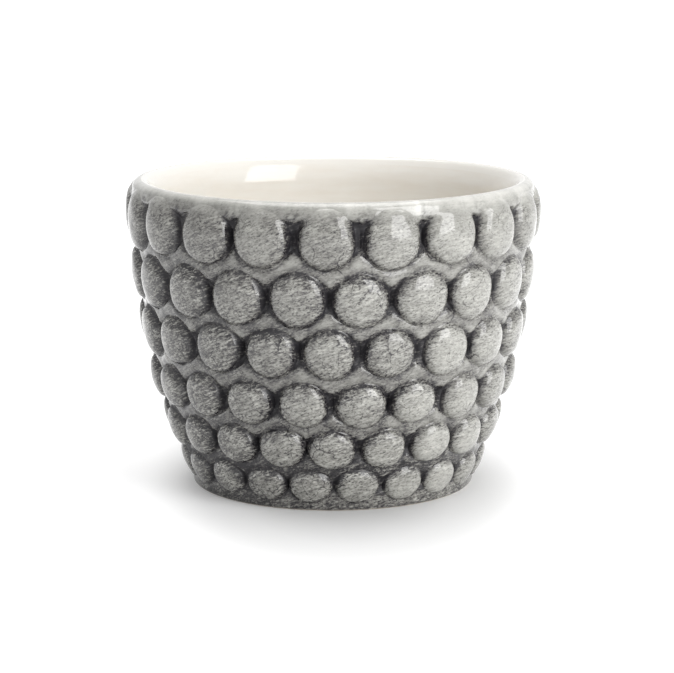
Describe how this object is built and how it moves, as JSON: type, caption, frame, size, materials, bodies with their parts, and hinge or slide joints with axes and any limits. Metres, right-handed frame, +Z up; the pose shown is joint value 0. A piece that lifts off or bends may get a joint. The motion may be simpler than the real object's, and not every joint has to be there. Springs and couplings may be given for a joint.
{
  "type": "egg cup",
  "caption": "Small round egg cup of glazed earthenware that widens to its mouth, with staggered rows of round beads in relief outside and a smooth cream bowl inside.",
  "frame": {"origin": "middle of the foot, on the surface that the cup stands on", "axes": "+Z up along the cup's axis, out of the mouth; -Y is the side seen in the picture, +X is to its right"},
  "size_m": [0.06, 0.06, 0.0442],
  "materials": {
    "foot_clay": "bare fired clay, wiped free of glaze where it stands",
    "stain_glaze": "gloss glaze over a dark grey stain that has pooled in the hollows",
    "bead_glaze": "gloss glaze over a brushed, speckled light grey stain",
    "cream_glaze": "smooth cream gloss glaze"
  },
  "bodies": {
    "root": {"foot_ring": "foot_clay", "floor": "foot_clay", "wall": "stain_glaze", "lip": "cream_glaze", "bowl_glaze": "cream_glaze", "bead_row_1": "bead_glaze", "bead_row_2": "bead_glaze", "bead_row_3": "bead_glaze", "bead_row_4": "bead_glaze", "bead_row_5": "bead_glaze", "bead_row_6": "bead_glaze"}
  },
  "joints": []
}
